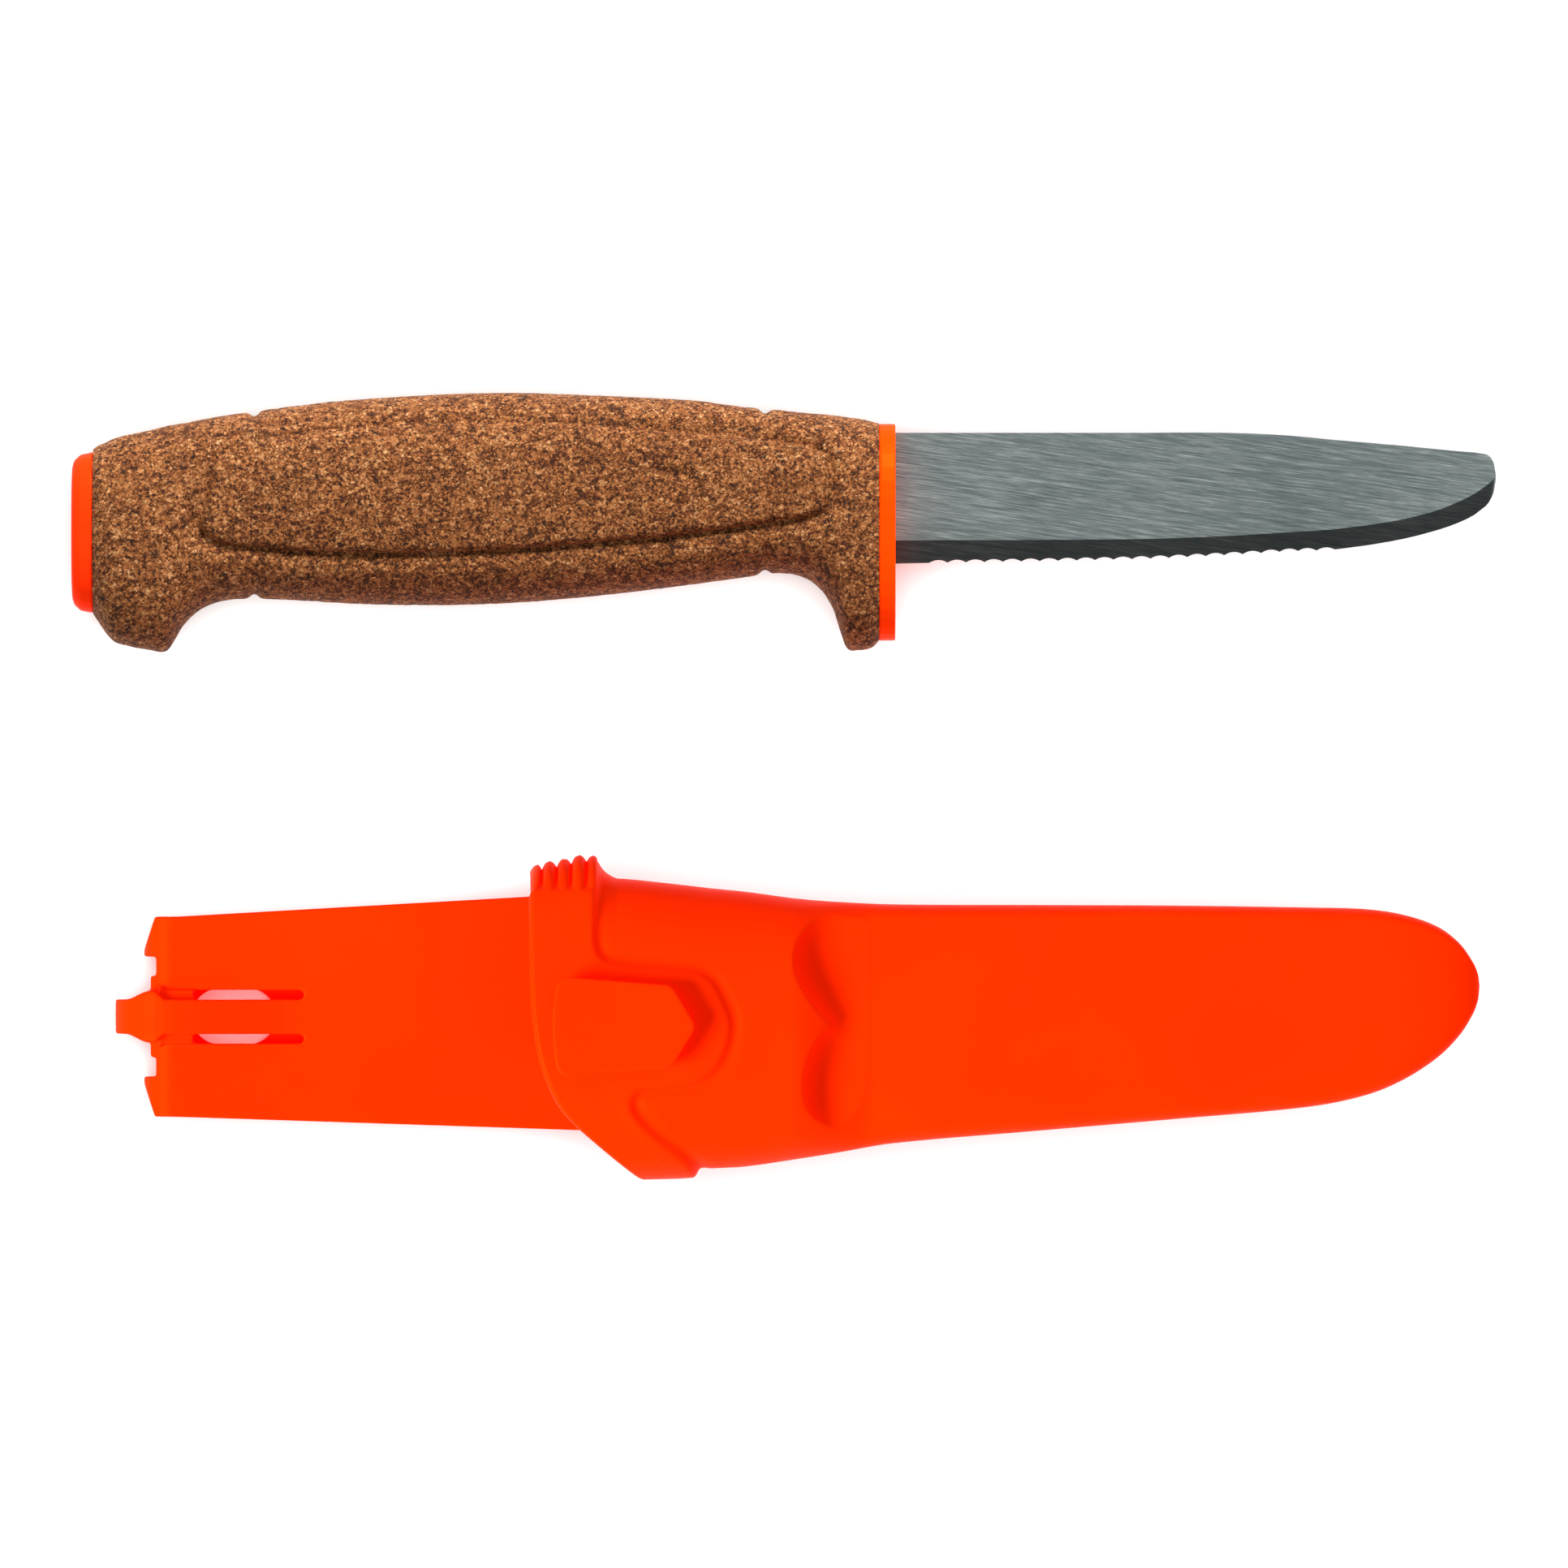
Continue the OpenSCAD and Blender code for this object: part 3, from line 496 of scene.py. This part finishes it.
# ---------------------------------------------------------------- softened copies of CAD pieces
def soft_copy(node, name, voxel, rounds):
    """Copy of a CAD piece with the soft edges of a moulding."""
    source = nodes[node]
    obj = bpy.data.objects.new(name, source.data.copy())
    bpy.context.collection.objects.link(obj)
    remesh = obj.modifiers.new("remesh", "REMESH")
    remesh.mode = "VOXEL"
    remesh.voxel_size = voxel * MM
    smooth = obj.modifiers.new("soften", "SMOOTH")
    smooth.factor = 0.5
    smooth.iterations = rounds
    bpy.context.view_layer.update()
    solid = obj.evaluated_get(bpy.context.evaluated_depsgraph_get())
    mesh = bpy.data.meshes.new_from_object(solid)
    obj.modifiers.clear()
    obj.data = mesh
    for polygon in mesh.polygons:
        polygon.use_smooth = True
    return obj


def flared_strap():
    """Strap and fold, with the bridge's sides spreading where they meet the fold's edge."""
    strap = soft_copy("belt_strap", "strap_and_fold", 0.22, 5)
    middle = (leaf_low[1] + leaf_high[1]) / 2
    p = np.empty(len(strap.data.vertices) * 3)
    strap.data.vertices.foreach_get("co", p)
    p = p.reshape(-1, 3) / MM
    x, d = p[:, 0] - strap_low[0], p[:, 1] - middle
    near = ramp(x, 1.6, 5.6) * (1 - ramp(x, 6.2, 8.2)) * (1 - ramp(np.abs(d), 2.6, 6.2))
    p[:, 1] = middle + d * (1 + 0.5 * near)
    strap.data.vertices.foreach_set("co", (p * MM).ravel())
    strap.data.update()
    return strap


# ---------------------------------------------------------------- materials
class Look:
    """Short way to write a node material."""

    def __init__(self, name):
        self.material = bpy.data.materials.new(name)
        self.material.use_nodes = True
        self.tree = self.material.node_tree
        self.tree.nodes.clear()
        self.output = self.tree.nodes.new("ShaderNodeOutputMaterial")
        self.shader = self.tree.nodes.new("ShaderNodeBsdfPrincipled")
        self.link(self.shader, "BSDF", self.output, "Surface")
        self.place = self.tree.nodes.new("ShaderNodeTexCoord")

    def link(self, a, out, b, into):
        """Joins an output of node a to an input of node b."""
        self.tree.links.new(a.outputs[out], b.inputs[into])

    def set(self, **values):
        """Sets the shader's own values."""
        for key, value in values.items():
            self.shader.inputs[key.replace("_", " ")].default_value = value

    def mapping(self, scale=(1, 1, 1), turn=(0, 0, 0), after=None):
        """Stretches or turns the texture's space."""
        m = self.tree.nodes.new("ShaderNodeMapping")
        m.inputs["Scale"].default_value = scale
        m.inputs["Rotation"].default_value = turn
        source, out = (after, "Vector") if after else (self.place, "Object")
        self.link(source, out, m, "Vector")
        return m

    def noise(self, scale, detail=2.0, rough=0.5, distortion=0.0, vector=None):
        """Cloudy texture."""
        n = self.tree.nodes.new("ShaderNodeTexNoise")
        n.inputs["Scale"].default_value = scale
        n.inputs["Detail"].default_value = detail
        n.inputs["Roughness"].default_value = rough
        n.inputs["Distortion"].default_value = distortion
        source, out = (vector, "Vector") if vector else (self.place, "Object")
        self.link(source, out, n, "Vector")
        return n

    def ramp(self, source, out, stops, smooth=False):
        """Colour ramp through (place, colour) stops."""
        r = self.tree.nodes.new("ShaderNodeValToRGB")
        r.color_ramp.interpolation = "EASE" if smooth else "LINEAR"
        while len(r.color_ramp.elements) < len(stops):
            r.color_ramp.elements.new(0.5)
        for element, (at, colour) in zip(r.color_ramp.elements, stops):
            element.position = at
            element.color = (*colour, 1)
        self.link(source, out, r, "Fac")
        return r

    def mix(self, kind, factor, a, b):
        """Mixes two colours; each of factor, a, b is a (node, output) pair or a value."""
        m = self.tree.nodes.new("ShaderNodeMix")
        m.data_type = "RGBA"
        m.blend_type = kind
        for value, socket in ((factor, 0), (a, 6), (b, 7)):
            if isinstance(value, tuple) and isinstance(value[0], bpy.types.Node):
                self.link(*value, m, socket)
            else:
                m.inputs[socket].default_value = value
        return m

    def maths(self, operation, a, b=0.0):
        """One sum of two (node, output) pairs or values."""
        m = self.tree.nodes.new("ShaderNodeMath")
        m.operation = operation
        for k, value in enumerate((a, b)):
            if isinstance(value, tuple):
                self.link(*value, m, k)
            else:
                m.inputs[k].default_value = value
        return m

    def weighted(self, *parts):
        """Sum of (node, output, weight) parts."""
        total = None
        for node, out, weight in parts:
            part = self.maths("MULTIPLY", (node, out), weight)
            total = self.maths("ADD", (total, 0), (part, 0)) if total else part
        return total

    def bump(self, height, strength, distance, after=None):
        """Fine relief, distance in millimetres, on top of the one in after."""
        b = self.tree.nodes.new("ShaderNodeBump")
        b.inputs["Strength"].default_value = strength
        b.inputs["Distance"].default_value = distance * MM
        self.link(*height, b, "Height")
        if after:
            self.link(after, "Normal", b, "Normal")
        self.link(b, "Normal", self.shader, "Normal")
        return b


def grey(v):
    """A neutral colour."""
    return (v, v, v)


def granules(look, size, stretch, wobble):
    """Cell pattern of pressed granules: returns the cells and the distance to their edges."""
    m = look.mapping(scale=stretch)
    bend = look.noise(1 / (size * 0.7 * MM), 2.0, 0.6, vector=m)
    push = look.tree.nodes.new("ShaderNodeVectorMath")
    push.operation = "MULTIPLY_ADD"
    look.link(bend, "Color", push, 0)
    push.inputs[1].default_value = (wobble * size * MM,) * 3
    look.link(m, "Vector", push, 2)
    out = []
    for feature in ("F1", "DISTANCE_TO_EDGE"):
        cells = look.tree.nodes.new("ShaderNodeTexVoronoi")
        cells.feature = feature
        cells.inputs["Scale"].default_value = 1 / (size * MM)
        look.link(push, "Vector", cells, "Vector")
        out.append(cells)
    return out


CORK_TONES = [
    (0.22, (0.045, 0.012, 0.004)), (0.38, (0.17, 0.050, 0.012)), (0.50, (0.31, 0.100, 0.026)),
    (0.62, (0.42, 0.150, 0.044)), (0.74, (0.54, 0.23, 0.080)), (0.86, (0.68, 0.37, 0.17)),
]


def cork_look():
    """Pressed cork: granules of two sizes, dark binder and burnt specks."""
    look = Look("cork")
    big, big_edge = granules(look, 0.9, (1, 1.3, 1), 1.1)
    small, small_edge = granules(look, 0.36, (1, 1.2, 1), 1.0)
    tone_a = look.tree.nodes.new("ShaderNodeSeparateColor")
    look.link(big, "Color", tone_a, "Color")
    tone_b = look.tree.nodes.new("ShaderNodeSeparateColor")
    look.link(small, "Color", tone_b, "Color")
    fibre = look.noise(3400, 4.0, 0.75)
    cloud = look.noise(60, 2.0, 0.5)
    mixed = look.weighted(
        (tone_a, "Red", 0.30), (tone_b, "Green", 0.44), (fibre, "Fac", 0.42), (cloud, "Fac", 0.14),
    )
    mixed = look.maths("SUBTRACT", (mixed, 0), 0.16)
    base = look.ramp(mixed, 0, CORK_TONES)
    # Dark binder in the gaps between granules
    gap = look.ramp(big_edge, "Distance", [(0.0, grey(0.35)), (0.1, grey(1.0))], True)
    gap_small = look.ramp(small_edge, "Distance", [(0.0, grey(0.55)), (0.12, grey(1.0))], True)
    shaded = look.mix("MULTIPLY", 0.8, (base, "Color"), (gap, "Color"))
    shaded = look.mix("MULTIPLY", 0.8, (shaded, 2), (gap_small, "Color"))
    # Sparse burnt specks
    speck = look.noise(1300, 3.0, 0.65, 0.6)
    speck_mask = look.ramp(speck, "Fac", [(0.575, grey(0.0)), (0.64, grey(0.95))])
    coloured = look.mix("MIX", (speck_mask, "Color"), (shaded, 2), (0.028, 0.012, 0.007, 1))
    look.link(coloured, 2, look.shader, "Base Color")
    rough = look.ramp(fibre, "Fac", [(0.3, grey(0.74)), (0.7, grey(0.9))])
    look.link(rough, "Color", look.shader, "Roughness")
    look.set(Specular_IOR_Level=0.18)
    coarse = look.bump((gap, "Color"), 0.55, 0.16)
    fine = look.bump((gap_small, "Color"), 0.45, 0.09, coarse)
    look.bump((fibre, "Fac"), 0.7, 0.14, fine)
    return look.material


def polymer_look(name, colour, deep, rough, grain):
    """Satin moulded polymer with a fine spark-eroded grain."""
    look = Look(name)
    cloud = look.noise(30, 2.0, 0.5)
    tint = look.ramp(cloud, "Fac", [(0.3, deep), (0.7, colour)], True)
    look.link(tint, "Color", look.shader, "Base Color")
    wear = look.noise(240, 3.0, 0.6)
    gloss = look.ramp(wear, "Fac", [(0.3, grey(rough - 0.05)), (0.75, grey(rough + 0.06))])
    look.link(gloss, "Color", look.shader, "Roughness")
    look.set(IOR=1.03, Metallic=0.09)
    # A red emission, a painted glow, keeps the shadows red
    look.set(Emission_Color=(1, 0, 0, 1), Emission_Strength=0.28)
    spark = look.noise(5200, 2.0, 0.6)
    pits = look.noise(2400, 1.0, 0.5)
    soft = look.bump((pits, "Fac"), grain * 0.6, 0.05)
    look.bump((spark, "Fac"), grain, 0.03, soft)
    return look.material


STREAK_TURN = math.radians(8)


def steel_look():
    """Stainless steel brushed across the blade; the ground bevel's faces turned down are darkened with
    painted shade.
    """
    look = Look("brushed_blade")
    turned = look.mapping(turn=(0, 0, STREAK_TURN))
    fine_map = look.mapping(scale=(95, 3000, 95), after=turned)
    wide_map = look.mapping(scale=(60, 1100, 60), after=turned)
    fine = look.noise(2.0, 4.0, 0.72, vector=fine_map)
    wide = look.noise(2.0, 3.0, 0.6, vector=wide_map)
    cloud = look.noise(34, 2.0, 0.5)
    tone = look.weighted((fine, "Fac", 0.72), (wide, "Fac", 0.18), (cloud, "Fac", 0.25))
    flat = look.ramp(tone, 0, [
        (0.40, (0.165, 0.205, 0.215)), (0.57, (0.268, 0.317, 0.314)), (0.76, (0.50, 0.56, 0.55)),
    ])
    shape = look.tree.nodes.new("ShaderNodeNewGeometry")
    axis = look.tree.nodes.new("ShaderNodeSeparateXYZ")
    look.link(shape, "True Normal", axis, "Vector")
    down = look.maths("MULTIPLY", (axis, "Y"), -1.0)
    # Painted shade: faces turned down, the ground bevel, get a much darker colour than the flat
    bevel_shade_mask = look.ramp(down, 0, [(0.08, grey(0.0)), (0.16, grey(1.0))])
    ground = look.mix("MULTIPLY", 1.0, (flat, "Color"), (0.26, 0.25, 0.25, 1))
    colour = look.mix("MIX", (bevel_shade_mask, "Color"), (flat, "Color"), (ground, 2))
    look.link(colour, 2, look.shader, "Base Color")
    rough = look.ramp(fine, "Fac", [(0.3, grey(0.30)), (0.7, grey(0.46))])
    look.link(rough, "Color", look.shader, "Roughness")
    look.set(Metallic=1.0)
    first = look.bump((fine, "Fac"), 0.22, 0.02)
    look.bump((wide, "Fac"), 0.10, 0.03, first)
    return look.material


def paint(obj, material):
    """Gives an object one material."""
    obj.data.materials.clear()
    obj.data.materials.append(material)


# ---------------------------------------------------------------- the pieces
cork_material = cork_look()
sheath_orange = polymer_look("sheath_orange", (0.95, 0.032, 0.0), (0.90, 0.028, 0.0), 0.40, 0.18)
trim_orange = polymer_look("trim_orange", (0.97, 0.062, 0.001), (0.93, 0.052, 0.001), 0.36, 0.12)
cap_orange = polymer_look("cap_orange", (0.97, 0.043, 0.003), (0.93, 0.037, 0.003), 0.36, 0.12)
steel_material = steel_look()

# What each key light reaches
knife_set, sheath_set = [nodes["blade"]], []
EASED_EDGE = 0.3

# CAD node, name, voxel in mm, rounds of softening, body, slot, material
SOFT_PIECES = [
    ("clip_leaf", "spring_leaf", 0.3, 4, "leaf", "orange_sheath", sheath_orange),
    ("shield_button", "shield_head", 0.22, 5, "sheath", "orange_sheath", sheath_orange),
    ("end_cap", "domed_cap", 0.22, 8, "knife", "orange_trim", cap_orange),
    ("handle_core", "collar_and_core", 0.25, 4, "knife", "orange_trim", trim_orange),
]


def add_piece(piece, body, node, material):
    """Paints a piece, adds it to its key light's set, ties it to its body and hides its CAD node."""
    (knife_set if body == "knife" else sheath_set).append(piece)
    paint(piece, material)
    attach(piece, body)
    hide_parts(node)


def finish_blade(blade, material):
    """Brushed steel and eased edges on the CAD blade."""
    for slot in blade.material_slots:
        slot.material = material
    chamfer = blade.modifiers.new("spine_chamfer", "BEVEL")
    chamfer.width = EASED_EDGE * MM
    chamfer.segments = 2
    chamfer.limit_method = "ANGLE"
    chamfer.angle_limit = math.radians(60)


add_piece(cork_sleeve(), "knife", "cork_grip", cork_material)
add_piece(sheath_moulding(), "sheath", "sheath_shell", sheath_orange)
add_piece(flared_strap(), "sheath", "belt_strap", sheath_orange)
for cad_node, piece_name, voxel_size, soft_rounds, body_name, slot_name, look_material in SOFT_PIECES:
    soft = soft_copy(cad_node, piece_name, voxel_size, soft_rounds)
    add_piece(soft, body_name, cad_node, look_material)
finish_blade(nodes["blade"], steel_material)


# ---------------------------------------------------------------- floor, light and camera
FLOOR_HALF = 3.0
SKY_STRENGTH = 0.42
CAMERA_HEIGHT = 4.0
# Width of the view, and the height at which it is that wide
VIEW_WIDTH = 250.259 * MM
VIEW_LEVEL = 20 * MM
SENSOR = 36
# Name, place, size and power of each lamp; all of them point at the middle of the floor
LAMPS = {
    "knife_key": ((0.35, 1.65, 1.35), 1.0, 80.0),
    "sheath_key": ((-1.5, -0.6, 1.6), 1.1, 76.0),
    "floor_wash": ((0, 0, 2.2), 2.4, 90.0),
}


def pale_floor():
    """Plain pale ground under the set."""
    mesh = bpy.data.meshes.new("floor")
    r = FLOOR_HALF
    mesh.from_pydata([(-r, -r, 0), (r, -r, 0), (r, r, 0), (-r, r, 0)], [], [(0, 1, 2, 3)])
    floor = bpy.data.objects.new("floor", mesh)
    bpy.context.collection.objects.link(floor)
    look = Look("paper_floor")
    look.set(Base_Color=(0.92, 0.92, 0.92, 1), Roughness=0.9, Specular_IOR_Level=0.0)
    paint(floor, look.material)
    return floor


def area_light(name, lit):
    """Round soft light that reaches only the pieces in lit."""
    place, size, power = LAMPS[name]
    light = bpy.data.lights.new(name, "AREA")
    light.energy = power
    light.shape = "DISK"
    light.size = size
    obj = bpy.data.objects.new(name, light)
    receivers = bpy.data.collections.new(name + "_receivers")
    for piece in lit:
        receivers.objects.link(piece)
    obj.light_linking.receiver_collection = receivers
    bpy.context.collection.objects.link(obj)
    obj.location = place
    obj.rotation_euler = (Vector((0, 0, 0)) - Vector(place)).to_track_quat("-Z", "Y").to_euler()


def studio(floor):
    """White surroundings, one key light for the knife, one for the sheath and one for the floor."""
    world = bpy.data.worlds.new("studio")
    world.use_nodes = True
    back = world.node_tree.nodes["Background"]
    back.inputs["Color"].default_value = (1, 1, 1, 1)
    back.inputs["Strength"].default_value = SKY_STRENGTH
    bpy.context.scene.world = world
    area_light("knife_key", knife_set)
    area_light("sheath_key", sheath_set)
    area_light("floor_wash", [floor])


def camera():
    """Looks straight down from far off, as the photo does."""
    cam = bpy.data.cameras.new("camera")
    cam.sensor_width = SENSOR
    cam.lens = SENSOR * (CAMERA_HEIGHT - VIEW_LEVEL) / VIEW_WIDTH
    cam.clip_end = 20
    obj = bpy.data.objects.new("camera", cam)
    bpy.context.collection.objects.link(obj)
    obj.location = (0, 0, CAMERA_HEIGHT)
    bpy.context.scene.camera = obj


studio(pale_floor())
camera()
bpy.context.scene.view_settings.view_transform = "Standard"
bpy.context.scene.view_settings.look = "None"
